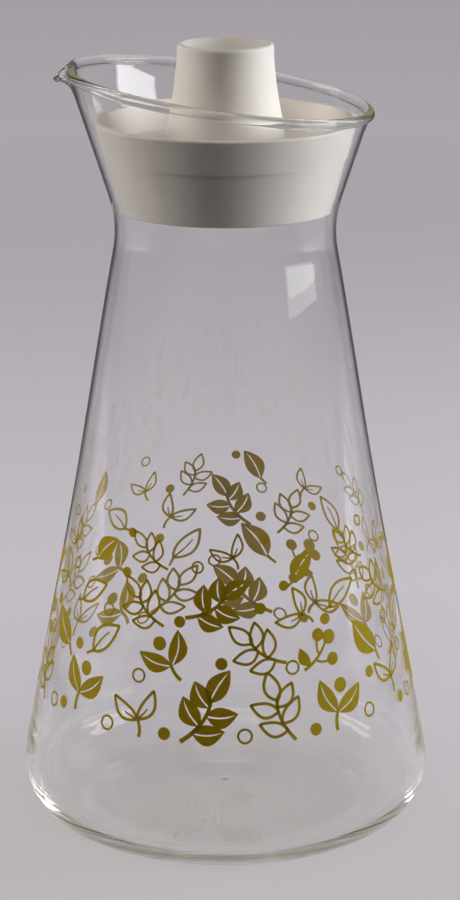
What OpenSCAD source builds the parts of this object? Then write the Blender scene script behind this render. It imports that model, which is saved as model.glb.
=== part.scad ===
// Juice carafe of thin blown glass with a lift-out stopper of moulded plastic.
// Millimetres, +Z up, origin at the centre of the foot on the table.
// The pouring spout points to -X, where the slanted rim is highest.

/* [Vessel] */
// Widest diameter, across the rounded heel
heel_d = 114; // [106:1:122]
// Radius of the rounded heel
heel_round = 16; // [13:0.5:18]
// Width of the flat ring that the vessel stands on
foot_w = 4; // [2:0.5:6]
// Rise of the pushed-up bottom over the table
kick_h = 3; // [1:0.5:5]
// Outer diameter at the throat
throat_d = 60.3; // [56:0.1:66]
// Height of the throat over the table
throat_z = 167.7; // [155:0.1:176]
// Bend radius of the throat
throat_bend = 30.5; // [16:0.5:36]
// Half angle of the flared mouth, in degrees
flare_angle = 18.1; // [13:0.1:22]
// How far the long side curves in at mid-height
side_hollow = 0.8; // [0:0.05:1.5]

/* [Glass] */
// Wall of the long side
side_wall = 1.2; // [1:0.1:1.8]
// Wall of the flared mouth
mouth_wall = 1.5; // [1.2:0.1:1.9]
// Wall just over the heel
heel_wall = 2; // [1.5:0.1:3.4]
// Thickness of the bottom
bottom_t = 4; // [3:0.25:5.5]
// Inner radius of the heel
heel_in_round = 12; // [9:0.5:14]
// Height over the heel in which the wall thins out
heel_fade = 40; // [20:1:45]

/* [Rim] */
// Height of the rim where it is lowest, opposite the spout
rim_low_z = 199.6; // [198:0.2:203]
// Height of the rim where it is highest, over the spout
rim_high_z = 211.2; // [206:0.2:214]
// Diameter of the fire-polished bead along the rim
bead_d = 2.7; // [2.2:0.1:3.2]
// How far the bead's centre stands out from the middle of the wall
bead_out = 0.55; // [0:0.05:0.8]
// Width of the pulled spout where it leaves the rim
spout_w = 13; // [10:0.5:18]
// How far the spout's tip stands out from the rim
spout_reach = 2.8; // [1.5:0.1:4]
// How far the spout's tip turns down
spout_drop = 2.4; // [1:0.1:3]
// How far the rim is pinched in on both sides of the spout
spout_pinch = 1.2; // [0:0.1:1.6]
// Height of the wall that is drawn out with the spout
spout_depth = 6.5; // [5:0.5:8]
// Share of its thickness that the bead loses at the spout's tip
spout_thin = 0.4; // [0:0.05:0.5]

/* [Stopper] */
// Height of the stopper's lower edge over the throat
seat_rise = 6.4; // [4:0.1:8]
// Gap between the stopper and the glass where it wedges
seat_gap = 0.2; // [0.1:0.05:0.4]
// How much steeper the collar stands than the mouth, in degrees
collar_margin = 4.4; // [3:0.1:7]
// Height of the collar under its step
band_low_h = 14.8; // [10:0.1:17]
// Height of the collar over its step
band_top_h = 9.5; // [8:0.1:13]
// Depth of the step around the collar
step_w = 0.5; // [0.2:0.05:0.8]
// Wall of the whole moulding
skin = 1.8; // [1.4:0.1:2.4]
// Rounding of the collar's two edges
edge_round = 0.6; // [0.3:0.05:0.65]
// Depth of the tray around the knob
tray_depth = 7.7; // [6:0.1:9]
// Rounding where the tray's floor meets its wall
tray_round = 2; // [1:0.25:3]

/* [Knob] */
// Height of the knob over the collar
knob_rise = 20; // [16:0.5:24]
// Diameter of the knob at its top
knob_top_d = 26; // [22:0.5:30]
// Diameter of the knob at the tray's floor
knob_root_d = 34.4; // [31:0.2:38]
// How late the knob spreads towards its root
knob_flare = 1.7; // [1.2:0.1:2.4]
// Rounding of the knob's lip
lip_round = 1; // [0.6:0.1:1.4]
// Depth of the dished top under the lip
dish_depth = 4; // [2:0.5:6]
// Rounding where the knob meets the tray's floor
root_round = 2; // [1:0.25:2.5]

/* [Hidden] */

// Steps of the arcs and of the whole turn
ARC_STEPS = 14;
SIDE_STEPS = 22;
EDGE_STEPS = 6;
DOME_STEPS = 8;
TURN_STEPS = 96;
BEAD_STEPS = 9;
LIP_ROWS = 5;
// Share of the bead's diameter from its centre down to the wall's last row
BEAD_GAP = 0.7;
// A share of even spacing by which the lip's sections crowd to the spout
CROWDING = 0.5;
// The lip's foot reaches this far down into the turned wall, and keeps this far inside it
TAB_H = 1;
TUCK = 0.05;
$fn = 180;

heel_r = heel_d / 2;
throat_r = throat_d / 2;

// --- Outer profile: heel arc, long side, throat arc, straight flare ---

heel_c = [heel_r - heel_round, heel_round];
throat_c = [throat_r + throat_bend, throat_z];

// The side runs along the line that touches both arcs, on opposite sides of it
arc_gap = throat_c - heel_c;
side_angle = atan2(arc_gap[1], arc_gap[0]) - acos((heel_round + throat_bend) / norm(arc_gap));
side_foot = heel_c + heel_round * [cos(side_angle), sin(side_angle)];
side_head = throat_c - throat_bend * [cos(side_angle), sin(side_angle)];
flare_foot = throat_c + throat_bend * [-cos(flare_angle), sin(flare_angle)];

function side_r(z) =
    let (t = (z - side_foot[1]) / (side_head[1] - side_foot[1]))
    side_foot[0] + t * (side_head[0] - side_foot[0]) - side_hollow * pow(sin(180 * t), 2);

function throat_arc_r(z) = throat_c[0] - sqrt(pow(throat_bend, 2) - pow(z - throat_z, 2));

function outer_r(z) =
    z < side_head[1] ? side_r(z)
    : z < flare_foot[1] ? throat_arc_r(z)
    : flare_foot[0] + (z - flare_foot[1]) * tan(flare_angle);

// Points along an arc, from angle a to angle b
function arc(c, r, a, b, n = ARC_STEPS) =
    [for (i = [0 : n]) let (t = a + (b - a) * i / n) c + r * [cos(t), sin(t)]];

// --- Inner profile: the wall thins from the heel upwards, then grows to the mouth ---

fade_slope = 2 * (heel_wall - side_wall) / heel_fade;
in_angle = atan(tan(side_angle) - fade_slope);
in_foot_z = bottom_t + heel_in_round * (1 + sin(in_angle));

function wall_at(z) =
    let (
        low = max(0, 1 - (z - in_foot_z) / heel_fade),
        high = min(1, max(0, (z - side_head[1] / 2) / (side_head[1] / 2)))
    )
    side_wall + (heel_wall - side_wall) * pow(low, 2) + (mouth_wall - side_wall) * pow(high, 2);

function inner_r(z) = outer_r(z) - wall_at(z);

in_c = [inner_r(in_foot_z) - heel_in_round * cos(in_angle), bottom_t + heel_in_round];

// --- Pushed-up bottom ---

dome_r = min(heel_c[0] - foot_w, in_c[0] - 0.5);

function dome_z(r) = kick_h * pow(cos(90 * r / dome_r), 2);

// --- Lip ---

// The turned body ends here and the slanted lip grows out of it
lip_z = rim_low_z - spout_depth;
rim_r = outer_r(rim_high_z);

function rim_z(a) = rim_low_z + (rim_high_z - rim_low_z) * (1 - cos(a)) / 2;

// One smooth wave of height 1, w wide
function wave(s, w) = abs(s) < w / 2 ? (1 + cos(360 * s / w)) / 2 : 0;

// Distance along the rim from the middle of the spout
function along_rim(a) = (a - 180) * PI / 180 * rim_r;

// How far the spout stands out at an angle, with the pinch on both sides of it
function spout_out(a) =
    let (s = along_rim(a), tip = wave(s, spout_w))
    spout_reach * tip - spout_pinch * (wave(s, 2.4 * spout_w) - tip);

function spout_down(a) = spout_drop * wave(along_rim(a), spout_w);

// The bead is thinner on the spout, but never thinner than the wall
function bead_r(a) = max(mouth_wall, bead_d * (1 - spout_thin * wave(along_rim(a), spout_w))) / 2;

// Middle of the lip's wall at height z, before the rim is slanted down to it
function lip_mid(a, z) =
    let (drawn = max(0, 1 - (rim_z(a) - z) / spout_depth))
    [
        (outer_r(z) + inner_r(z)) / 2 + (bead_out + spout_out(a)) * pow(drawn, 2),
        z - spout_down(a) * pow(drawn, 3)
    ];

function unit(v) = v / norm(v);

// Direction of the lip's wall at height z, upwards
function lip_dir(a, z) = unit(lip_mid(a, z) - lip_mid(a, z - 0.05));

function outward(v) = [v[1], -v[0]];

lip_half = mouth_wall / 2 * cos(flare_angle);
lip_foot_half = mouth_wall / 2 - TUCK;

// Heights of the lip's rows, closer together towards the bead
function lip_row_z(a, i) =
    let (height = rim_z(a) - BEAD_GAP * bead_d - lip_z)
    lip_z + height * (1 - pow(1 - i / LIP_ROWS, 1.6));

// A point on the outside of the lip's wall, or on the inside where side is -1
function lip_wall(a, i, side) =
    let (z = lip_row_z(a, i)) lip_mid(a, z) + side * lip_half * outward(lip_dir(a, z));

// Closed outline of the lip at one angle: up the outside, round the bead, down the inside
function lip_outline(a) =
    let (
        top = lip_mid(a, rim_z(a)),
        dir = lip_dir(a, rim_z(a)),
        neck = asin(lip_half / bead_r(a)),
        start = atan2(dir[1], dir[0]) - 180 + neck,
        foot = lip_mid(a, lip_z),
        tab = foot - TAB_H * [tan(flare_angle), 1]
    )
    concat(
        [tab + [lip_foot_half, 0], foot + [lip_foot_half, 0]],
        [for (i = [1 : LIP_ROWS]) lip_wall(a, i, 1)],
        arc(top, bead_r(a), start, start + 360 - 2 * neck, BEAD_STEPS),
        [for (i = [LIP_ROWS : -1 : 1]) lip_wall(a, i, -1)],
        [foot - [lip_foot_half, 0], tab - [lip_foot_half, 0]]
    );

// Angle of a section, crowded around the spout at 180 degrees
function lip_angle(i) =
    let (even = 360 * i / TURN_STEPS) even + CROWDING * sin(even) * 180 / PI;

module slanted_lip() {
    rings = [for (i = [0 : TURN_STEPS - 1]) let (a = lip_angle(i))
        [for (p = lip_outline(a)) [p[0] * cos(a), p[0] * sin(a), p[1]]]];
    n = len(rings[0]);
    function id(i, j) = (i % TURN_STEPS) * n + j % n;
    polyhedron(
        points = [for (ring = rings) each ring],
        faces = [for (i = [0 : TURN_STEPS - 1]) for (j = [0 : n - 1])
            each [
                [id(i, j), id(i, j + 1), id(i + 1, j)],
                [id(i + 1, j), id(i, j + 1), id(i + 1, j + 1)]
            ]]
    );
}

// --- Nodes ---

module glass_section() {
    side_zs = [for (i = [1 : SIDE_STEPS]) side_foot[1] + (side_head[1] - side_foot[1]) * i / SIDE_STEPS];
    in_zs = [for (i = [1 : SIDE_STEPS]) in_foot_z + (side_head[1] - in_foot_z) * i / SIDE_STEPS];
    bend_zs = [for (i = [1 : ARC_STEPS]) side_head[1] + (flare_foot[1] - side_head[1]) * i / ARC_STEPS];
    dome_rs = [for (i = [0 : DOME_STEPS]) dome_r * i / DOME_STEPS];
    polygon(concat(
        [for (r = dome_rs) [r, dome_z(r)]],
        arc(heel_c, heel_round, -90, side_angle),
        [for (z = side_zs) [outer_r(z), z]],
        [for (z = bend_zs) [outer_r(z), z]],
        [[outer_r(lip_z), lip_z], [inner_r(lip_z), lip_z]],
        [for (i = [len(bend_zs) - 1 : -1 : 0]) [inner_r(bend_zs[i]), bend_zs[i]]],
        [for (i = [len(in_zs) - 1 : -1 : 0]) [inner_r(in_zs[i]), in_zs[i]]],
        arc(in_c, heel_in_round, in_angle, -90),
        [for (i = [DOME_STEPS : -1 : 0]) [dome_rs[i], dome_z(dome_rs[i]) + bottom_t]]
    ));
}

module carafe_glass() {
    color([0.86, 0.9, 0.88, 0.35]) {
        rotate_extrude() glass_section();
        slanted_lip();
    }
}

// --- Stopper profile ---

seat_z = throat_z + seat_rise;
step_z = seat_z + band_low_h;
collar_z = step_z + band_top_h;
collar_slope = tan(flare_angle - collar_margin);

// Room between the glass and a collar of the right slope, at each height it passes
function room(z) = inner_r(z) - (z - seat_z) * collar_slope - (z > step_z ? step_w : 0);
seat_r = min([for (z = [seat_z : 0.25 : min(collar_z, rim_low_z)]) room(z)]) - seat_gap;

function collar_r(z) = seat_r + (z - seat_z) * collar_slope;

tray_z = collar_z - tray_depth;
knob_z = collar_z + knob_rise;
knob_r = knob_top_d / 2;
root_r = knob_root_d / 2;

// The dished top is part of a sphere that the rounded lip runs into smoothly
lip_c = [knob_r - lip_round, knob_z - lip_round];
dish_ball =
    (pow(lip_c[0], 2) + pow(dish_depth - lip_round, 2) - pow(lip_round, 2)) / (2 * dish_depth);
dish_c = [0, knob_z - dish_depth + dish_ball];
dish_edge = asin(lip_c[0] / (dish_ball + lip_round));

// The knob's side spreads from its lip down to the tray's floor
function knob_side_r(z) =
    knob_r + (root_r - knob_r) * pow(max(0, (lip_c[1] - z) / (lip_c[1] - tray_z)), knob_flare);

// The hollow under the knob keeps one skin to its side and to the dished top
hollow_r = knob_r - skin;
hollow_edge = asin(hollow_r / (dish_ball + skin));
hollow_z = dish_c[1] - (dish_ball + skin) * cos(hollow_edge);

// A corner cut as a round of radius r: from the point before it to the point after it
function round_corner(before, at, after, r) =
    let (
        u = unit(before - at),
        v = unit(after - at),
        half = acos(max(-1, min(1, u * v))) / 2,
        run = r / tan(half),
        c = at + unit(u + v) * r / sin(half),
        a = atan2((at + u * run - c)[1], (at + u * run - c)[0]),
        b = atan2((at + v * run - c)[1], (at + v * run - c)[0]),
        turn = b - a > 180 ? b - a - 360 : b - a < -180 ? b - a + 360 : b - a
    )
    arc(c, r, a, a + turn, EDGE_STEPS);

module stopper_section() {
    foot_out = [collar_r(seat_z), seat_z];
    foot_in = [collar_r(seat_z) - skin, seat_z];
    step_in = [collar_r(step_z), step_z];
    step_out = [collar_r(step_z) + step_w, step_z];
    top_out = [collar_r(collar_z) + step_w, collar_z];
    top_in = [top_out[0] - skin, collar_z];
    floor_edge = [top_in[0] - tray_depth * collar_slope, tray_z];
    root = [root_r, tray_z];
    side_z = tray_z + root_round;
    side_zs = [for (i = [0 : ARC_STEPS]) side_z + (lip_c[1] - side_z) * i / ARC_STEPS];
    under_z = tray_z - skin;
    hollow_zs = [for (i = [0 : ARC_STEPS]) hollow_z + (under_z - hollow_z) * i / ARC_STEPS];
    polygon(concat(
        round_corner(foot_in, foot_out, step_in, edge_round),
        [step_in, step_out],
        round_corner(step_out, top_out, top_in, edge_round),
        round_corner(top_out, top_in, floor_edge, edge_round),
        round_corner(top_in, floor_edge, root, tray_round),
        round_corner(floor_edge, root, [knob_side_r(side_z), side_z], root_round),
        [for (z = side_zs) if (z > side_z) [knob_side_r(z), z]],
        arc(lip_c, lip_round, 0, 90 + dish_edge, EDGE_STEPS),
        arc(dish_c, dish_ball, -90 + dish_edge, -90),
        arc(dish_c, dish_ball + skin, -90, -90 + hollow_edge),
        [for (z = hollow_zs) if (z < hollow_z) [knob_side_r(z) - skin, z]],
        [[collar_r(under_z) - skin, under_z], foot_in]
    ));
}

module stopper() {
    color([0.9, 0.88, 0.84])
        rotate_extrude() stopper_section();
}

carafe_glass();
stopper();
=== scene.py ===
"""Clear glass juice carafe with a lift-out plastic stopper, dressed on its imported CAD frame.

The wall of the vessel is remade as one fine, smooth mesh, so that it bends light evenly. The
print is raised enamel on its outside, and the stopper is the CAD piece with a finish. +Z is up and
Blender's objects are in metres. The vessel and the print are worked out in millimetres, and their
points are multiplied by MM.
"""

import math

import bpy
import numpy as np
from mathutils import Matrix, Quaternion, Vector


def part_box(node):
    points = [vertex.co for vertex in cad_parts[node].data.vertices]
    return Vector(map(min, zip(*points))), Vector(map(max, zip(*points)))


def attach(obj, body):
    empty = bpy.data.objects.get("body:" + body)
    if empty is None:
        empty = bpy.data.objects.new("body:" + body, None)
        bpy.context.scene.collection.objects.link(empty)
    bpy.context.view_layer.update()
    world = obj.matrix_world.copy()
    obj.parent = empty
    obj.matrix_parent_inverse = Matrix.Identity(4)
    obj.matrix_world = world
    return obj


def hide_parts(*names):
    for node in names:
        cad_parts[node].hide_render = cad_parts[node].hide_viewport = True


MM = 0.001
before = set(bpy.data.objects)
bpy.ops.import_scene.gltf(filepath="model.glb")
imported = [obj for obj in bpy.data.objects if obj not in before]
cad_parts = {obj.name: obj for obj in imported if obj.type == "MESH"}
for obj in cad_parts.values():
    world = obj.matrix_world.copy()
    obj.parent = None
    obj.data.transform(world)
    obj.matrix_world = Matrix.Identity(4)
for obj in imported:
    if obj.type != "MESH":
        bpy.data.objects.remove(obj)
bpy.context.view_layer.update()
glass_low, glass_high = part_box("carafe_glass")

# --- Sizes of the vessel, in millimetres, as the CAD piece has them ---

# Heel: outer radius, and rounding outside and inside
HEEL_R = min(-glass_low.x, -glass_low.y, glass_high.x, glass_high.y) / MM
HEEL_ROUND, HEEL_IN_ROUND = 16.0, 12.0
# Bottom: thickness, width of the ring it stands on, and how far its middle is pushed up
BOTTOM_T, FOOT_W, KICK_H = 4.0, 4.0, 3.0
# The pushed-up middle ends at least this far inside the inner rounding
KICK_GAP = 0.5
# The mould's mark: a low knob of glass in the middle of the bottom, inside, and its steepness
MARK_R, MARK_H, MARK_STEEP = 1.6, 0.12, 2
# Throat: least radius, its height, and the radius of the bend there
THROAT_R, THROAT_Z, THROAT_BEND = 30.15, 167.7, 30.5
# The mouth flares outwards by this angle
FLARE_ANGLE = math.radians(18.1)
# The long side is hollow by this much at its middle
SIDE_HOLLOW = 0.8
# Thickness of the wall, and the height over which the heel's thins into the side's
SIDE_WALL, MOUTH_WALL, HEEL_WALL = 1.2, 1.5, 2.0
HEEL_FADE = 40.0
# Rim: lowest and highest height of the bead's middle, the bead's radius, and how far it leans out
RIM_LOW_Z, RIM_HIGH_Z = 199.6, 211.2
BEAD_R, BEAD_OUT = 1.35, 0.55
# Spout: width, how far it reaches out and drops, how far the rim is pinched in beside it, and the
# depth of the lip that is drawn out with it
SPOUT_W, SPOUT_REACH, SPOUT_DROP, SPOUT_PINCH, SPOUT_DEPTH = 13.0, 2.8, 2.4, 1.2, 6.5
# The pinch spans this many widths of the spout
PINCH_SPAN = 2.4
# Share of its radius that the bead loses at the tip of the spout
SPOUT_THIN = 0.4

# --- Fineness of the glass mesh ---

TURN_STEPS = 320
DOME_STEPS, HEEL_STEPS, SIDE_STEPS, BEND_STEPS, FLARE_STEPS = 14, 22, 36, 22, 5
LIP_STEPS, CAP_STEPS, MARK_STEPS = 26, 16, 8
# Sections crowd around the spout by this many radians, and the lip's rows towards the bead by
# this power
SPOUT_CROWD, LIP_CROWD = 0.5, 1.8
# Step down the lip that shows which way it runs, in millimetres
LIP_PROBE = 0.05
# How sharply the wall runs into the bead: a higher power leaves a harder corner
BEAD_BLEND = 5
# Points that round to the same place at this many steps a metre are joined
WELD_STEPS = 1e7
# Edges that turn by more than this stay sharp
SHARP_ANGLE = math.radians(50)

# --- Camera, fitted for a picture of 460 by 900 pixels ---

FRAME_H = 900
# Focal length, and how far the vessel's axis stands left of the middle, in pixels
FOCAL_PX, AXIS_LEFT_PX = 3140.2, 4.6
SENSOR_MM = 36.0
CAMERA_AT = (0.0, -837.6 * MM, 343.5 * MM)
CAMERA_PITCH = math.radians(15.88)
# How often light may be mirrored or bent inside the wall before it leaves the glass
MAX_BOUNCES = 60


# --- Profile of the vessel, as points (radius, height) ---

# Middles of the heel's rounding and of the throat's bend, and the side that touches both
heel_c = np.array([HEEL_R - HEEL_ROUND, HEEL_ROUND])
throat_c = np.array([THROAT_R + THROAT_BEND, THROAT_Z])
arc_gap = throat_c - heel_c
side_angle = math.atan2(arc_gap[1], arc_gap[0]) - math.acos(
    (HEEL_ROUND + THROAT_BEND) / np.linalg.norm(arc_gap)
)
side_dir = np.array([math.cos(side_angle), math.sin(side_angle)])
side_foot = heel_c + HEEL_ROUND * side_dir
side_head = throat_c - THROAT_BEND * side_dir
flare_foot = throat_c + THROAT_BEND * np.array([-math.cos(FLARE_ANGLE), math.sin(FLARE_ANGLE)])
lip_z = RIM_LOW_Z - SPOUT_DEPTH


def outer_r(z):
    """Outer radius of the turned wall over the heel."""
    z = np.asarray(z, float)
    t = (z - side_foot[1]) / (side_head[1] - side_foot[1])
    side = side_foot[0] + t * (side_head[0] - side_foot[0])
    side = side - SIDE_HOLLOW * np.sin(np.pi * np.clip(t, 0, 1)) ** 2
    bend = throat_c[0] - np.sqrt(np.maximum(THROAT_BEND**2 - (z - THROAT_Z) ** 2, 0))
    flare = flare_foot[0] + (z - flare_foot[1]) * math.tan(FLARE_ANGLE)
    return np.where(z < side_head[1], side, np.where(z < flare_foot[1], bend, flare))


# The wall's thinning over the heel tilts the inner side, and with it the end of the inner rounding
fade_slope = 2 * (HEEL_WALL - SIDE_WALL) / HEEL_FADE
in_angle = math.atan(math.tan(side_angle) - fade_slope)
in_foot_z = BOTTOM_T + HEEL_IN_ROUND * (1 + math.sin(in_angle))


def inner_r(z):
    """Inner radius: the wall thins from the heel upwards, then grows to the mouth."""
    z = np.asarray(z, float)
    low = np.maximum(0, 1 - (z - in_foot_z) / HEEL_FADE)
    high = np.clip((z - side_head[1] / 2) / (side_head[1] / 2), 0, 1)
    wall = SIDE_WALL + (HEEL_WALL - SIDE_WALL) * low**2 + (MOUTH_WALL - SIDE_WALL) * high**2
    return outer_r(z) - wall


in_c = np.array([
    float(inner_r(in_foot_z)) - HEEL_IN_ROUND * math.cos(in_angle),
    BOTTOM_T + HEEL_IN_ROUND,
])
dome_r = min(heel_c[0] - FOOT_W, in_c[0] - KICK_GAP)
rim_r = float(outer_r(RIM_HIGH_Z))


def steps(low, high, count):
    """Even steps from low, left out, to high."""
    return low + (high - low) * np.arange(1, count + 1) / count


def arc(centre, radius, start, end, count):
    """Points along an arc, both ends included."""
    t = np.linspace(start, end, count + 1)
    return np.stack([centre[0] + radius * np.cos(t), centre[1] + radius * np.sin(t)], 1)


def dome(r, lift):
    """Height of the pushed-up bottom at a radius."""
    return lift + KICK_H * np.cos(np.pi / 2 * r / dome_r) ** 2


def body_rows():
    """The turned part of a section: up the outside from the bottom's middle, and back inside."""
    r = np.linspace(0, dome_r, DOME_STEPS + 1)
    z_side = steps(side_foot[1], side_head[1], SIDE_STEPS)
    z_bend = steps(side_head[1], flare_foot[1], BEND_STEPS)
    z_flare = steps(flare_foot[1], lip_z, FLARE_STEPS)
    z_out = np.concatenate([z_side, z_bend, z_flare])
    outside = np.concatenate([
        np.stack([r, dome(r, 0)], 1),
        arc(heel_c, HEEL_ROUND, -math.pi / 2, side_angle, HEEL_STEPS),
        np.stack([outer_r(z_out), z_out], 1),
    ])
    z_side = steps(in_foot_z, side_head[1], SIDE_STEPS)
    z_in = np.concatenate([z_side, z_bend, z_flare])[::-1]
    r_mark = np.linspace(0, 2 * MARK_R, MARK_STEPS + 1)[:-1]
    r_in = np.concatenate([r_mark, np.linspace(2 * MARK_R, dome_r, DOME_STEPS)])
    mark = MARK_H * np.exp(-((r_in / MARK_R) ** 2) * MARK_STEEP)
    inside = np.concatenate([
        np.stack([inner_r(z_in), z_in], 1),
        arc(in_c, HEEL_IN_ROUND, in_angle, -math.pi / 2, HEEL_STEPS),
        np.stack([r_in, dome(r_in, BOTTOM_T) + mark], 1)[::-1],
    ])
    return outside, inside


# --- Slanted lip with its bead and spout ---


def rim_z(a):
    """Height of the bead's middle at an angle, before the spout drops it."""
    return RIM_LOW_Z + (RIM_HIGH_Z - RIM_LOW_Z) * (1 - math.cos(a)) / 2


def wave(s, width):
    """One smooth hump of a width, 1 in its middle and 0 outside."""
    return (1 + math.cos(2 * math.pi * s / width)) / 2 if abs(s) < width / 2 else 0.0


def spout(a):
    """How far the rim stands out and turns down at an angle, with its pinch beside the spout."""
    s = (a - math.pi) * rim_r
    tip = wave(s, SPOUT_W)
    out = SPOUT_REACH * tip - SPOUT_PINCH * (wave(s, PINCH_SPAN * SPOUT_W) - tip)
    return out, SPOUT_DROP * tip


def bead_r(a):
    """Radius of the bead, smaller on the spout but never under half the wall."""
    thin = SPOUT_THIN * wave((a - math.pi) * rim_r, SPOUT_W)
    return max(MOUTH_WALL / 2, BEAD_R * (1 - thin))


def lip_mid(a, z):
    """Middle of the lip's wall at the heights z."""
    drawn = np.maximum(0, 1 - (rim_z(a) - z) / SPOUT_DEPTH)
    out, down = spout(a)
    r = (outer_r(z) + inner_r(z)) / 2 + (BEAD_OUT + out) * drawn**2
    return np.stack([r, z - down * drawn**3], -1)


def lip_rows(a):
    """Section of the lip at one angle: up the outside, over the bead, down the inside."""
    share = np.arange(1, LIP_STEPS + 1) / LIP_STEPS
    z = lip_z + (rim_z(a) - lip_z) * (1 - (1 - share) ** LIP_CROWD)
    mid = lip_mid(a, z)
    run = mid - lip_mid(a, z - LIP_PROBE)
    along = run / np.linalg.norm(run, axis=1, keepdims=True)
    across = np.stack([along[:, 1], -along[:, 0]], 1)
    top, bead = mid[-1], bead_r(a)
    far = np.linalg.norm(mid - top, axis=1)
    ball = np.sqrt(np.maximum(bead**2 - far**2, 0))
    wall = MOUTH_WALL / 2 * math.cos(FLARE_ANGLE) * np.minimum(1, far / bead)
    half = (wall**BEAD_BLEND + ball**BEAD_BLEND) ** (1 / BEAD_BLEND)
    outside = mid + half[:, None] * across
    inside = mid - half[:, None] * across
    start = math.atan2(across[-1][1], across[-1][0])
    cap = arc(top, bead, start, start + math.pi, CAP_STEPS)[1:-1]
    return np.concatenate([outside, cap, inside[::-1]])


def lip_angle(i):
    """Angle of a section, crowded around the spout."""
    even = 2 * math.pi * i / TURN_STEPS
    return even + SPOUT_CROWD * math.sin(even)


def welded_mesh(name, points, faces):
    """A mesh with coinciding points joined and the faces that this collapses left out."""
    index, kept, place = {}, [], []
    for p in points:
        key = tuple(round(x * WELD_STEPS) for x in p)
        if key not in index:
            index[key] = len(kept)
            kept.append(tuple(p))
        place.append(index[key])
    loops = [list(dict.fromkeys(place[v] for v in face)) for face in faces]
    mesh = bpy.data.meshes.new(name)
    mesh.from_pydata(kept, [], [loop for loop in loops if len(loop) > 2])
    mesh.update()
    mesh.shade_smooth()
    mesh.set_sharp_from_angle(angle=SHARP_ANGLE)
    obj = bpy.data.objects.new(name, mesh)
    bpy.context.scene.collection.objects.link(obj)
    return obj


def make_glass():
    """The glass, as one closed skin through its sections all the way round."""
    outside, inside = body_rows()
    points, faces = [], []
    for i in range(TURN_STEPS):
        a = lip_angle(i)
        rows = np.concatenate([outside, lip_rows(a), inside]) * MM
        points += [(r * math.cos(a), r * math.sin(a), z) for r, z in rows]
    n = len(rows)
    for i in range(TURN_STEPS):
        k = (i + 1) % TURN_STEPS
        faces += [
            (i * n + j, k * n + j, k * n + j + 1, i * n + j + 1) for j in range(n - 1)
        ]
    return welded_mesh("glass_wall", points, faces)


# --- Print: flat motifs laid on the outside of the cone as thin raised enamel ---

# The enamel stands this far above the glass and its foot is sunk in it, and a stroke that crosses
# another one lies one layer lower
INK_TOP, INK_FOOT, LAYER = 0.035, -0.02, 0.004
# Leaves: how far below its middle a leaf is fullest, and how full it is, as powers
LEAF_LOW, LEAF_FULL = 0.85, 0.9
# The bare midrib opens at this pace from the root and closes at this pace towards this share of
# the leaf
SLIT_OPENS, SLIT_CLOSES, SLIT_END = 8, 5, 0.8
# A drawn midrib tapers to this share of its line
RIB_TAPER = 0.5
# Steps round a dot or ring, and faces across a filled shape
ROUND_STEPS, FILL_STEPS = 24, 4


def on_cone(centre, u, v, lift):
    """Where a motif's point, u to the right and v upwards from its centre, is on the wall."""
    angle, z0 = centre
    z = z0 + v * math.cos(side_angle)
    r = float(outer_r(z))
    a = angle + u / r
    r += lift * math.cos(side_angle)
    return (r * math.cos(a) * MM, r * math.sin(a) * MM, (z + lift * math.sin(side_angle)) * MM)


class Ink:
    """Collects thin closed slabs, each between two edge lines drawn in a motif's own plane."""

    def __init__(self):
        self.points, self.faces = [], []

    def slab(self, place, left, right, across=2, layer=0):
        """A slab, some faces across, of a motif that is placed at (centre, size, turn)."""
        centre, size, turn = place
        c, s = math.cos(turn) * size, math.sin(turn) * size
        n, m, base = len(left), across + 1, len(self.points)
        for lift in (INK_TOP - layer * LAYER, INK_FOOT):
            for p, q in zip(left, right):
                for j in range(m):
                    t = j / across
                    x, y = p[0] + (q[0] - p[0]) * t, p[1] + (q[1] - p[1]) * t
                    self.points.append(on_cone(centre, c * x - s * y, s * x + c * y, lift))
        low = base + n * m
        for i in range(n - 1):
            for j in range(across):
                a, b = i * m + j, (i + 1) * m + j
                self.faces.append((base + a, base + a + 1, base + b + 1, base + b))
                self.faces.append((low + b, low + b + 1, low + a + 1, low + a))
            for j, flip in ((0, False), (across, True)):
                a, b = i * m + j, (i + 1) * m + j
                wall = (base + a, base + b, low + b, low + a)
                self.faces.append(wall[::-1] if flip else wall)
        for i, flip in ((0, True), (n - 1, False)):
            for j in range(across):
                a, b = i * m + j, i * m + j + 1
                wall = (base + a, base + b, low + b, low + a)
                self.faces.append(wall[::-1] if flip else wall)


def ribbon(path, width, closed=False):
    """Two edge lines, width apart, along a path. width is a number or one number per point."""
    p = np.asarray(path, float)
    step = np.roll(p, -1, 0) - np.roll(p, 1, 0)
    if not closed:
        step[0], step[-1] = p[1] - p[0], p[-1] - p[-2]
    step /= np.linalg.norm(step, axis=1, keepdims=True)
    side = np.stack([-step[:, 1], step[:, 0]], 1) * np.reshape(width, (-1, 1)) / 2
    left, right = p + side, p - side
    if closed:
        left, right = np.vstack([left, left[:1]]), np.vstack([right, right[:1]])
    return left, right


def leaf_edges(root, tip, width, bend, count=14):
    """Both edges and the midrib of a leaf from root to tip, fullest below its middle."""
    root, tip = np.asarray(root, float), np.asarray(tip, float)
    axis = tip - root
    length = np.linalg.norm(axis)
    axis /= length
    side = np.array([-axis[1], axis[0]])
    t = (1 - np.cos(np.linspace(0, math.pi, count))) / 2
    rib = root + np.outer(t * length, axis) + np.outer(np.sin(math.pi * t) * bend, side)
    half = width / 2 * np.sin(math.pi * t**LEAF_LOW) ** LEAF_FULL
    return rib + half[:, None] * side, rib - half[:, None] * side, rib


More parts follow.
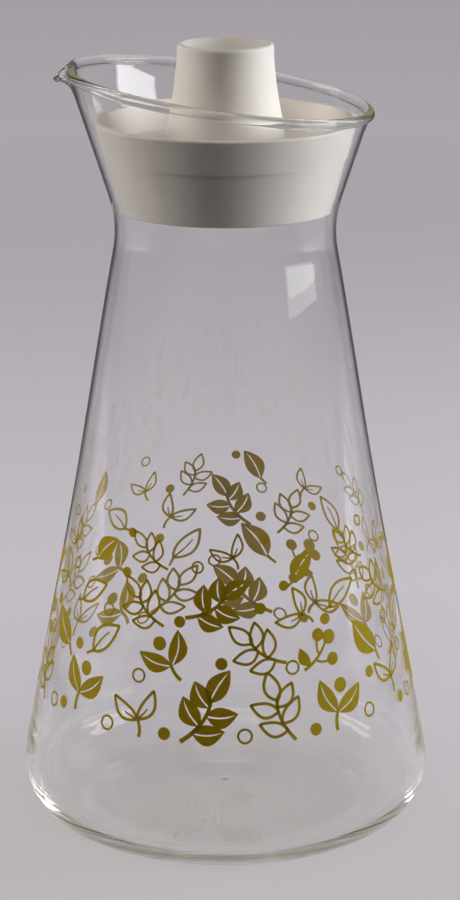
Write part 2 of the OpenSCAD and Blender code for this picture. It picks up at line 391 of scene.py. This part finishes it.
def solid_leaf(ink, place, root, tip, width, bend=0.0, slit=0.0):
    """A filled leaf, with a bare midrib where slit is over 0."""
    left, right, rib = leaf_edges(root, tip, width, bend)
    if not slit:
        ink.slab(place, left, right, FILL_STEPS)
        return
    t = np.linspace(0, 1, len(rib))[:, None]
    axis = np.asarray(tip, float) - np.asarray(root, float)
    side = np.array([-axis[1], axis[0]]) / np.linalg.norm(axis)
    opening = np.minimum(t * SLIT_OPENS, (SLIT_END - t) * SLIT_CLOSES)
    gap = slit / 2 * np.clip(opening, 0, 1) * side
    ink.slab(place, left, rib + gap, FILL_STEPS // 2)
    ink.slab(place, rib - gap, right, FILL_STEPS // 2)


def open_leaf(ink, place, root, tip, width, bend=0.0, line=0.7, rib_share=0.6):
    """A leaf drawn as an outline, with part of its midrib."""
    left, right, rib = leaf_edges(root, tip, width - line, bend)
    loop = np.vstack([left, right[::-1][1:-1]])
    ink.slab(place, *ribbon(loop, line, closed=True), 1)
    if rib_share:
        count = max(3, int(len(rib) * rib_share))
        thinning = np.linspace(line, line * RIB_TAPER, count)
        ink.slab(place, *ribbon(rib[:count], thinning), 1, 1)


def dot(ink, place, at, radius):
    """A filled circle."""
    t = np.linspace(0, math.pi, ROUND_STEPS // 2 + 1)
    x, y = at[0] - radius * np.cos(t), radius * np.sin(t)
    ink.slab(place, np.stack([x, at[1] + y], 1), np.stack([x, at[1] - y], 1), FILL_STEPS)


def ring(ink, place, at, radius, line=0.65):
    """A circle drawn as a line."""
    t = np.linspace(0, 2 * math.pi, ROUND_STEPS + 1)[:-1]
    loop = np.stack([at[0] + radius * np.cos(t), at[1] + radius * np.sin(t)], 1)
    ink.slab(place, *ribbon(loop, line, closed=True), 1)


def stem_line(points, count=18):
    """A smooth line through three points."""
    a, b, c = (np.asarray(p, float) for p in points)
    t = np.linspace(0, 1, count)[:, None]
    mid = 2 * b - (a + c) / 2
    return (1 - t) ** 2 * a + 2 * t * (1 - t) * mid + t**2 * c


def stem(ink, place, points, thick=0.8, thin=0.45):
    """A tapering stroke through three points, and the path it follows."""
    path = stem_line(points)
    ink.slab(place, *ribbon(path, np.linspace(thick, thin, len(path))), 1, 1)
    return path


# --- Motifs: each is drawn about its middle, growing upwards, in millimetres ---


def leafy_sprig(ink, place):
    """Five filled leaves on a bent stem."""
    path = stem(ink, place, ((-1.4, -10.6), (1.0, -3.6), (0.2, 2.6)), 1.2, 0.9)
    for k, out, reach in ((4, 1, 8.2), (7, -1, 8.4), (11, 1, 8.0), (14, -1, 7.6)):
        root = path[k]
        tip = root + reach * np.array([out * 0.85, 0.53])
        solid_leaf(ink, place, root, tip, 5.4, -0.7 * out, 0.42)
    solid_leaf(ink, place, path[-1] - (0, 0.9), path[-1] + (0.6, 8.6), 5.6, 0.4, 0.42)


def open_sprig(ink, place):
    """Five outlined leaves on a bent stem."""
    path = stem(ink, place, ((0.8, -8.8), (-0.8, -2.4), (0.2, 2.4)), 0.95, 0.75)
    for k, out, reach in ((4, -1, 7.2), (7, 1, 7.4), (12, -1, 7.0), (14, 1, 6.8)):
        root = path[k]
        tip = root + reach * np.array([out * 0.83, 0.58])
        open_leaf(ink, place, root, tip, 4.4, -0.5 * out, 0.78, 0)
    open_leaf(ink, place, path[-1], path[-1] + (0.2, 7.4), 4.7, 0.3, 0.78, 0)


def berry_twig(ink, place):
    """Three berries on a forked twig with one small leaf."""
    path = stem(ink, place, ((0, -6.6), (0.7, -1.4), (-0.3, 3.2)), 0.95, 0.7)
    dot(ink, place, path[-1] + (0, 1.7), 2.0)
    for k, out in ((7, 1), (10, -1)):
        end = path[k] + (3.3 * out, 2.5)
        elbow = (path[k] + end) / 2 + (0.2 * out, -0.45)
        stem(ink, place, (path[k], elbow, end), 0.75, 0.65)
        dot(ink, place, end + (0.7 * out, 1.1), 1.8)
    solid_leaf(ink, place, path[3], path[3] + (-5.6, 1.5), 3.3, 0.5)


def broad_leaf(ink, place):
    """One filled leaf with its bare midrib and a short stalk."""
    solid_leaf(ink, place, (0, -5.6), (0.4, 7.6), 7.6, 0.9, 0.55)
    stem(ink, place, ((-1.1, -8.6), (-0.5, -6.8), (0.0, -5.1)), 0.9, 1.1)


def drawn_leaf(ink, place):
    """One outlined leaf with its midrib and a short stalk."""
    open_leaf(ink, place, (0, -5.0), (0.3, 6.8), 6.6, 0.8, 0.85, 0.66)
    stem(ink, place, ((-1.0, -7.8), (-0.5, -6.4), (0.0, -4.7)), 0.75, 0.9)


def twin_leaves(ink, place):
    """Two filled leaves that spread from one stalk, with a berry between them."""
    for out in (1, -1):
        solid_leaf(ink, place, (0.1 * out, -3.2), (6.4 * out, 4.4), 5.2, -1.0 * out, 0.38)
    stem(ink, place, ((0.4, -7.8), (-0.2, -5.4), (0, -2.6)), 1.05, 0.9)
    dot(ink, place, (0, 3.6), 1.9)


def open_twins(ink, place):
    """Two outlined leaves that spread from one stalk."""
    for out in (1, -1):
        open_leaf(ink, place, (0.1 * out, -2.2), (5.6 * out, 4.2), 4.3, -0.9 * out, 0.78, 0.5)
    stem(ink, place, ((-0.4, -6.6), (0.3, -4.6), (0, -1.8)), 0.9, 0.8)


def berry(ink, place):
    """A filled berry."""
    dot(ink, place, (0, 0), 1.75)


def hollow_berry(ink, place):
    """A berry drawn as a ring."""
    ring(ink, place, (0, 0), 1.85)


# Room that each motif takes, as the radius of a circle
ROOM = {
    leafy_sprig: 9.3, open_sprig: 8.3, twin_leaves: 7.2, open_twins: 6.4, berry_twig: 6.3,
    broad_leaf: 6.6, drawn_leaf: 6.2, berry: 2.5, hollow_berry: 2.6,
}
# Tiers of the print: height, motifs in turn, how many, first angle, size, lean; angles in degrees
TIERS = (
    (48.5, (leafy_sprig, open_sprig, twin_leaves, open_twins), 16, -97, 1.08, 28),
    (61.0, (open_sprig, berry_twig, broad_leaf, drawn_leaf, twin_leaves), 15, -83, 1.0, -40),
    (73.5, (leafy_sprig, open_twins, drawn_leaf, open_sprig), 16, -92, 0.92, 42),
    (85.0, (open_twins, broad_leaf, open_sprig), 15, -90, 0.76, -34),
    (40.6, (hollow_berry, berry), 18, -84.5, 1.0, 0),
    (54.6, (berry, hollow_berry), 14, -91, 0.95, 0),
    (67.4, (berry, berry, hollow_berry), 13, -80, 0.9, 0),
    (79.6, (hollow_berry, berry), 12, -97, 0.8, 0),
    (91.6, (berry, hollow_berry), 9, -79, 0.75, 0),
)
# How much the motifs of a tier waver sideways and in their lean, in degrees, and in height, in
# millimetres, each with its pace from one motif to the next
SHIFT, SHIFT_PACE = 3, 5.1
TILT, TILT_PACE = 16, 3.7
RISE, RISE_PACE = 2, 2.4
# The motifs are pushed apart on the unrolled wall of this radius, and kept between these heights,
# give or take the margin
BAND_R, BAND_LOW, BAND_HIGH, BAND_MARGIN = 48.0, 40.0, 92.0, 2
# Rounds of pushing, and the share of an overlap that one round clears
SPREAD_ROUNDS, SPREAD_SHARE = 60, 0.6


def spread(spots, rooms):
    """Pushes motifs apart until each has its room. x runs around the wall, y upwards."""
    around = 2 * math.pi * BAND_R
    for _ in range(SPREAD_ROUNDS):
        gap = spots[:, None] - spots[None]
        gap[..., 0] -= around * np.round(gap[..., 0] / around)
        far = np.linalg.norm(gap, axis=2) + np.eye(len(spots)) * around
        short = np.maximum(0, rooms[:, None] + rooms[None] - far)
        yields = rooms[None] ** 2 / (rooms[:, None] ** 2 + rooms[None] ** 2)
        push = (short * yields * SPREAD_SHARE)[..., None]
        spots = spots + (gap / far[..., None] * push).sum(1)
        low, high = BAND_LOW + rooms - BAND_MARGIN, BAND_HIGH - rooms + BAND_MARGIN
        spots[:, 1] = np.clip(spots[:, 1], low, high)
    return spots


def make_print():
    """The whole print: every tier's motifs, spread out and drawn on the wall."""
    marks = []
    for row, (z, motifs, count, first, size, lean) in enumerate(TIERS):
        for i in range(count):
            angle = first + 360 * i / count + SHIFT * math.sin(SHIFT_PACE * i + row)
            side = 1 if i % 2 else -1
            turn = math.radians(lean * side + TILT * math.sin(TILT_PACE * i + 2 * row))
            height = z + RISE * math.sin(RISE_PACE * i + row)
            x = BAND_R * math.radians(angle)
            marks.append((x, height, motifs[i % len(motifs)], size, turn))
    spots = np.array([mark[:2] for mark in marks])
    rooms = np.array([ROOM[motif] * size for _, _, motif, size, _ in marks])
    spots = spread(spots, rooms)
    ink = Ink()
    for (x, z), (_, _, motif, size, turn) in zip(spots, marks):
        motif(ink, ((x / BAND_R, z), size, turn))
    return welded_mesh("enamel_print", ink.points, ink.faces)


# --- Shader helpers ---


def new_material(name):
    """A material with an empty node tree, and the tree."""
    material = bpy.data.materials.new(name)
    material.use_nodes = True
    tree = material.node_tree
    tree.nodes.clear()
    return material, tree


def add(tree, kind, inputs=None, **settings):
    """A node with its settings, and its inputs given a value or another node's output."""
    node = tree.nodes.new(kind)
    for key, value in settings.items():
        setattr(node, key, value)
    for key, value in (inputs or {}).items():
        if isinstance(value, bpy.types.NodeSocket):
            tree.links.new(value, node.inputs[key])
        else:
            node.inputs[key].default_value = value
    return node


def maths(tree, operation, *values):
    """The clamped result of a sum on values or other nodes' outputs."""
    node = add(tree, "ShaderNodeMath", dict(enumerate(values)), operation=operation, use_clamp=True)
    return node.outputs[0]


def ramp(tree, value, start, end, low=0.0, high=1.0):
    """Goes from low to high as a value goes from start to end, and stays level beyond."""
    return add(tree, "ShaderNodeMapRange", {
        "Value": value, "From Min": start, "From Max": end, "To Min": low, "To Max": high,
    }).outputs[0]


def blend(tree, share, first, second):
    """A colour between two, by a share from 0 to 1."""
    # Sockets 6 and 7 hold this node's colours, and output 2 is the colour it makes
    node = add(tree, "ShaderNodeMix", {0: share, 6: first, 7: second}, data_type="RGBA")
    return node.outputs[2]


def mix_shaders(tree, share, first, second):
    """A shader between two, by a share from 0 to 1."""
    return add(tree, "ShaderNodeMixShader", {0: share, 1: first, 2: second}).outputs[0]


def noise(tree, coords, scale, detail):
    """Noise between 0 and 1, with its scale in features per metre."""
    node = add(tree, "ShaderNodeTexNoise", {"Vector": coords, "Scale": scale, "Detail": detail})
    return node.outputs["Fac"]


def bumpy(tree, height, strength, distance):
    """The normal of a surface raised by a height from 0 to 1, over a distance in metres."""
    node = add(tree, "ShaderNodeBump", {
        "Height": height, "Strength": strength, "Distance": distance,
    })
    return node.outputs["Normal"]


def two_tones(tree, value, low, dark, high, pale):
    """A colour that goes from dark to pale as a value goes from low to high."""
    node = add(tree, "ShaderNodeValToRGB", {"Fac": value})
    stops = node.color_ramp.elements
    stops[0].position, stops[1].position = low, high
    stops[0].color, stops[1].color = dark, pale
    return node.outputs["Color"]


# --- Materials of the pieces ---

GLASS_IOR = 1.5
# Tint of the glass's surface, and of light that passes straight through it
GLASS_COLOUR, GLASS_SHADE = (0.997, 0.997, 0.997, 1), (0.985, 0.982, 0.975, 1)
# Colour that the depth of the glass leaves, and how strongly it takes the rest, per metre
ABSORB_COLOUR, ABSORB_DENSITY = (0.87, 0.92, 0.72, 1), 4.0

# Middle colour of the plastic, its mottling as shares of that, and the range of its roughness
PLASTIC_COLOUR = (0.80, 0.77, 0.73)
MOTTLE_DARK, MOTTLE_PALE = (0.96, 0.955, 0.94), (1.02, 1.02, 1.02)
PLASTIC_ROUGH = (0.42, 0.56)

ENAMEL_DARK, ENAMEL_PALE = (0.35, 0.32, 0.018, 1), (0.455, 0.425, 0.034, 1)
# Colour of the light through the enamel from behind, and its share of the look
ENAMEL_GLOW, ENAMEL_THIN = (0.61, 0.46, 0.03, 1), 0.6


def glass_material():
    """Clear glass, faintly green in its depth.

    Shadow rays and bounced light pass straight through it to the pieces behind.
    """
    material, tree = new_material("clear_glass_finish")
    coords = add(tree, "ShaderNodeTexCoord").outputs["Object"]
    wavy = noise(tree, coords, 55.0, 2.0)
    body = add(tree, "ShaderNodeBsdfPrincipled", {
        "Base Color": GLASS_COLOUR, "Roughness": 0.0, "IOR": GLASS_IOR,
        "Transmission Weight": 1.0, "Normal": bumpy(tree, wavy, 1.0, 0.00002),
    })
    clear = add(tree, "ShaderNodeBsdfTransparent", {"Color": GLASS_SHADE})
    path = add(tree, "ShaderNodeLightPath").outputs
    through = maths(tree, "MAXIMUM", path["Is Shadow Ray"], path["Is Diffuse Ray"])
    surface = mix_shaders(tree, through, body.outputs[0], clear.outputs[0])
    volume = add(tree, "ShaderNodeVolumeAbsorption", {
        "Color": ABSORB_COLOUR, "Density": ABSORB_DENSITY,
    })
    add(tree, "ShaderNodeOutputMaterial", {"Surface": surface, "Volume": volume.outputs[0]})
    return material


def plastic_material():
    """Off-white moulded plastic with a satin skin, a fine grain and faint mottling."""
    material, tree = new_material("stopper_plastic_finish")
    coords = add(tree, "ShaderNodeTexCoord").outputs["Object"]
    mottle = noise(tree, coords, 90.0, 4.0)
    grain = noise(tree, coords, 2600.0, 3.0)
    dark, pale = (
        (*(c * share for c, share in zip(PLASTIC_COLOUR, shares)), 1)
        for shares in (MOTTLE_DARK, MOTTLE_PALE)
    )
    body = add(tree, "ShaderNodeBsdfPrincipled", {
        "Base Color": two_tones(tree, mottle, 0.3, dark, 0.7, pale),
        "Roughness": ramp(tree, mottle, 0.0, 1.0, *PLASTIC_ROUGH),
        "IOR": 1.5, "Specular IOR Level": 0.4, "Normal": bumpy(tree, grain, 0.35, 0.00006),
    })
    add(tree, "ShaderNodeOutputMaterial", {"Surface": body.outputs[0]})
    return material


def enamel_material():
    """Olive enamel, glossy and a little uneven, with some light through it from behind."""
    material, tree = new_material("print_enamel_finish")
    coords = add(tree, "ShaderNodeTexCoord").outputs["Object"]
    cloud = noise(tree, coords, 260.0, 5.0)
    body = add(tree, "ShaderNodeBsdfPrincipled", {
        "Base Color": two_tones(tree, cloud, 0.3, ENAMEL_DARK, 0.72, ENAMEL_PALE),
        "Roughness": 0.38, "IOR": 1.5, "Specular IOR Level": 0.35,
        "Normal": bumpy(tree, cloud, 0.25, 0.00004),
    })
    glow = add(tree, "ShaderNodeBsdfTranslucent", {"Color": ENAMEL_GLOW})
    surface = mix_shaders(tree, ENAMEL_THIN, body.outputs[0], glow.outputs[0])
    add(tree, "ShaderNodeOutputMaterial", {"Surface": surface})
    return material


# --- Stage: floor, backdrop, room, lamps and camera, in metres ---

# The floor is a disc of this many sides, with rings of faces at these radii
FLOOR_SIDES, FLOOR_RINGS = 96, (0.0, 0.3, 1.0, 2.5, 6.0)
# Colour of the paper in front of the object and behind it, and where the one turns into the other;
# the darker paper in front is painted shade, for the lamps' light that falls off towards the camera
PAPER_NEAR_SHADED, PAPER_REST = (0.705, 0.69, 0.75, 1), (0.81, 0.787, 0.865, 1)
PAPER_NEAR_Y, PAPER_REST_Y = -0.1, 0.2
# The paper turns into the even backdrop between these distances
FADE_FROM, FADE_TO = 0.45, 1.1
# The backdrop goes from its near colour to the sky's between FADE_FROM and this distance; this
# darkening is painted shade, for the lamps' light that falls off with distance
BACKDROP, SKY, SKY_FROM = (0.452, 0.421, 0.459, 1), (0.366, 0.342, 0.371, 1), 1.7
# Mirrored and bounced light finds the paper giving way here in front, over this length, to painted
# shade beyond, a dark floor that stands in for the unlit room in front of the object
PAPER_EDGE, EDGE_SOFT = -0.06, 0.02
UNLIT_ROOM_SHADE = (0.03, 0.028, 0.026, 1)
# At the sides it darkens with painted shade between these distances, to one share of its colour
# for bounced light and another for mirrored light
PAPER_SIDE, PAPER_SIDE_END = 0.18, 0.29
SIDE_BOUNCED, SIDE_MIRRORED = 0.35, 0.6
# Mirrored light also finds a dark strip of painted shade on each side, standing in for the unlit
# room, which sets in and ends between these slants (distance sideways over distance back)
STRIP_NEAR, STRIP_FAR, STRIP_DARK = (0.1, 0.2), (0.6, 0.4), 0.86
# Brightness of the room in front and behind, and where it turns from the one to the other
ROOM_FRONT, ROOM_BACK, ROOM_TURN = 0.03, 0.30, (0.0, 0.6)
# Brightness of the room in front as the glass shows it, and its tint
ROOM_SEEN, ROOM_TINT = 0.27, (1.0, 1.01, 0.93, 1)
WHITE = (1, 1, 1, 1)


def floor_mesh():
    """A flat disc of rings."""
    n = FLOOR_SIDES
    turns = [2 * math.pi * i / n for i in range(n)]
    points = [(r * math.cos(t), r * math.sin(t), 0) for r in FLOOR_RINGS for t in turns]
    faces = []
    for j in range(len(FLOOR_RINGS) - 1):
        for i in range(n):
            k = (i + 1) % n
            faces.append((j * n + i, j * n + k, (j + 1) * n + k, (j + 1) * n + i))
    return welded_mesh("floor", points, faces)


def make_floor():
    """The paper under the object, which fades into the backdrop for the camera and the glass.

    The camera, and the glass where it is looked through, see it pale all over. Mirrored and
    bounced light finds it darker in front and at the sides, painted shade that stands in for the
    unlit room around the lit paper.
    """
    floor = floor_mesh()
    material, tree = new_material("floor_paper")
    path = add(tree, "ShaderNodeLightPath").outputs
    place = add(tree, "ShaderNodeNewGeometry").outputs["Position"]
    axes = add(tree, "ShaderNodeSeparateXYZ", {0: place}).outputs
    far = add(tree, "ShaderNodeVectorMath", {0: place}, operation="LENGTH").outputs["Value"]
    beside = maths(tree, "ABSOLUTE", axes["X"])

    # Share of the paper's colour that is left, the rest giving way to painted shade: in front of
    # its edge, and in the mirrored strips
    seen = maths(tree, "MAXIMUM", path["Is Camera Ray"], path["Is Transmission Ray"])
    front = ramp(tree, axes["Y"], PAPER_EDGE - EDGE_SOFT, PAPER_EDGE)
    slant = maths(tree, "DIVIDE", beside, axes["Y"])
    # Painted shade: dark strips at the sides that only mirrored light finds
    strip = maths(tree, "MULTIPLY", ramp(tree, slant, *STRIP_NEAR), ramp(tree, slant, *STRIP_FAR))
    mirrored = maths(tree, "MINIMUM", path["Glossy Depth"], STRIP_DARK)
    shown = maths(tree, "MAXIMUM", front, seen)
    share = maths(tree, "SUBTRACT", shown, maths(tree, "MULTIPLY", strip, mirrored))

    # At the sides only light that was never mirrored, and is seen straight, finds all of it; the
    # rest finds it darkened by painted shade
    straight = maths(tree, "SUBTRACT", seen, path["Glossy Depth"])
    least = ramp(tree, path["Glossy Depth"], 0.0, 1.0, SIDE_BOUNCED, SIDE_MIRRORED)
    side = maths(tree, "MAXIMUM", ramp(tree, beside, PAPER_SIDE_END, PAPER_SIDE), least)
    share = maths(tree, "MULTIPLY", share, maths(tree, "MAXIMUM", side, straight))

    # Painted shade: the paper darkens towards the front, where less of the lamps' light falls
    shade_falloff = ramp(tree, axes["Y"], PAPER_NEAR_Y, PAPER_REST_Y)
    # Where the share is low, the paper gives way to the painted shade of the unlit room
    colour = blend(tree, share, UNLIT_ROOM_SHADE, blend(tree, shade_falloff, PAPER_NEAR_SHADED, PAPER_REST))
    near = add(tree, "ShaderNodeBsdfDiffuse", {"Color": colour})
    # Painted shade: the glowing backdrop darkens with distance from the object
    backdrop_falloff = blend(tree, ramp(tree, far, FADE_FROM, SKY_FROM), BACKDROP, SKY)
    backdrop = add(tree, "ShaderNodeEmission", {"Color": backdrop_falloff, "Strength": 1.0})
    fade = ramp(tree, far, FADE_FROM, FADE_TO)
    fade = maths(tree, "MULTIPLY", fade, maths(tree, "MULTIPLY", share, seen))
    paper = mix_shaders(tree, fade, near.outputs[0], backdrop.outputs[0])
    add(tree, "ShaderNodeOutputMaterial", {"Surface": paper})
    floor.data.materials.append(material)


def make_world():
    """A room that is dark in front and pale behind.

    The camera sees the even backdrop instead where it looks past the floor.
    """
    world = bpy.data.worlds.new("studio")
    bpy.context.scene.world = world
    world.use_nodes = True
    tree = world.node_tree
    tree.nodes.clear()
    way = add(tree, "ShaderNodeTexCoord").outputs["Generated"]
    behind = add(tree, "ShaderNodeSeparateXYZ", {0: way}).outputs["Y"]
    path = add(tree, "ShaderNodeLightPath").outputs
    front = ramp(tree, path["Is Transmission Ray"], 0.0, 1.0, ROOM_FRONT, ROOM_SEEN)
    back = ramp(tree, behind, *ROOM_TURN)
    # Sockets 2 and 3 hold this node's plain values, and output 0 is the value it makes
    glow = add(tree, "ShaderNodeMix", {0: back, 2: front, 3: ROOM_BACK}).outputs[0]
    tint = blend(tree, back, ROOM_TINT, WHITE)
    room = add(tree, "ShaderNodeBackground", {"Color": tint, "Strength": glow})
    sky = add(tree, "ShaderNodeBackground", {"Color": SKY, "Strength": 1.0})
    surface = mix_shaders(tree, path["Is Camera Ray"], room.outputs[0], sky.outputs[0])
    add(tree, "ShaderNodeOutputWorld", {"Surface": surface})


# Upright panels that face the axis: name, azimuth from the camera's side (positive to the right),
# lower and upper edge, distance, width, roll in degrees, radiance and tint. The broad ones are
# what the glass mirrors, the narrow ones are the light on everything else.
MIRRORED = (
    ("panel_right", 82, 0.53, 0.9, 1.3, 0.87, 0, 5.4, (1, 1, 1)),
    ("panel_right_low", 82, 0.2, 0.35, 1.29, 0.87, -5.5, 2.6, (1, 1, 1)),
    ("panel_left", -92, 0.4, 0.6, 1.3, 0.7, 0, 4.5, (1.03, 1.0, 0.96)),
)
LIGHTING = (
    ("lamp_right_low", 90, 0.1, 0.5, 1.3, 0.68, 0, 19.0, (1.0, 0.99, 1.02)),
    ("lamp_right", 90, 0.5, 0.9, 1.3, 0.68, 0, 5.5, (0.98, 1.0, 1.03)),
    ("lamp_left_low", -97, 0.1, 0.5, 1.3, 0.6, 0, 11.0, (1.06, 1.0, 0.94)),
    ("lamp_left", -97, 0.5, 0.9, 1.3, 0.6, 0, 4.0, (1.03, 1.0, 0.96)),
)
# The lamp over the object: place, where it points, width, radiance and tint
OVER_AT, OVER_AIM = Vector((0, -0.5, 1.25)), Vector((0, 0, 0.1))
OVER_W, OVER_RADIANCE, OVER_TINT = 0.7, 2.0, (1.12, 1.0, 0.9)


def lamp(name, place, aim, size, roll, radiance, tint):
    """A rectangular lamp of a radiance, hidden from the camera."""
    data = bpy.data.lights.new(name, "AREA")
    data.shape = "RECTANGLE"
    data.size, data.size_y = size
    data.energy = radiance * math.pi * size[0] * size[1]
    data.color = tint
    panel = bpy.data.objects.new(name, data)
    panel.location = place
    turn = (aim - place).to_track_quat("-Z", "Y") @ Quaternion((0, 0, 1), math.radians(roll))
    panel.rotation_euler = turn.to_euler()
    panel.visible_camera = False
    bpy.context.scene.collection.objects.link(panel)
    return panel


def upright(name, azimuth, low, high, distance, width, roll, radiance, tint):
    """A lamp that stands upright beside the object and faces its axis."""
    a = math.radians(azimuth)
    place = Vector((distance * math.sin(a), -distance * math.cos(a), (low + high) / 2))
    return lamp(name, place, Vector((0, 0, place.z)), (width, high - low), roll, radiance, tint)


def make_lamps():
    """The panels that only shiny surfaces show, and the lamps that light the rest."""
    for row in MIRRORED:
        upright(*row).visible_diffuse = False
    for row in LIGHTING:
        panel = upright(*row)
        panel.visible_glossy = panel.visible_transmission = False
    lamp("lamp_over", OVER_AT, OVER_AIM, (OVER_W, OVER_W), 0, OVER_RADIANCE, OVER_TINT)


def make_camera():
    """The camera of the main picture."""
    data = bpy.data.cameras.new("camera")
    data.sensor_width = SENSOR_MM
    data.lens = FOCAL_PX / FRAME_H * SENSOR_MM
    data.shift_x = AXIS_LEFT_PX / FRAME_H
    camera = bpy.data.objects.new("camera", data)
    camera.location = CAMERA_AT
    camera.rotation_euler = (math.pi / 2 - CAMERA_PITCH, 0, 0)
    bpy.context.scene.collection.objects.link(camera)
    bpy.context.scene.camera = camera


def main():
    """Builds the stage, then the pieces."""
    scene = bpy.context.scene
    scene.view_settings.view_transform = "Standard"
    scene.cycles.max_bounces = MAX_BOUNCES
    scene.cycles.glossy_bounces = scene.cycles.transmission_bounces = MAX_BOUNCES
    make_camera()
    make_world()
    make_floor()
    make_lamps()

    glass = make_glass()
    glass.data.materials.append(glass_material())
    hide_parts("carafe_glass")
    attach(glass, "vessel")

    enamel = make_print()
    enamel.data.materials.append(enamel_material())
    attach(enamel, "vessel")

    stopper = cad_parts["stopper"]
    stopper.data.materials.clear()
    stopper.data.materials.append(plastic_material())


main()
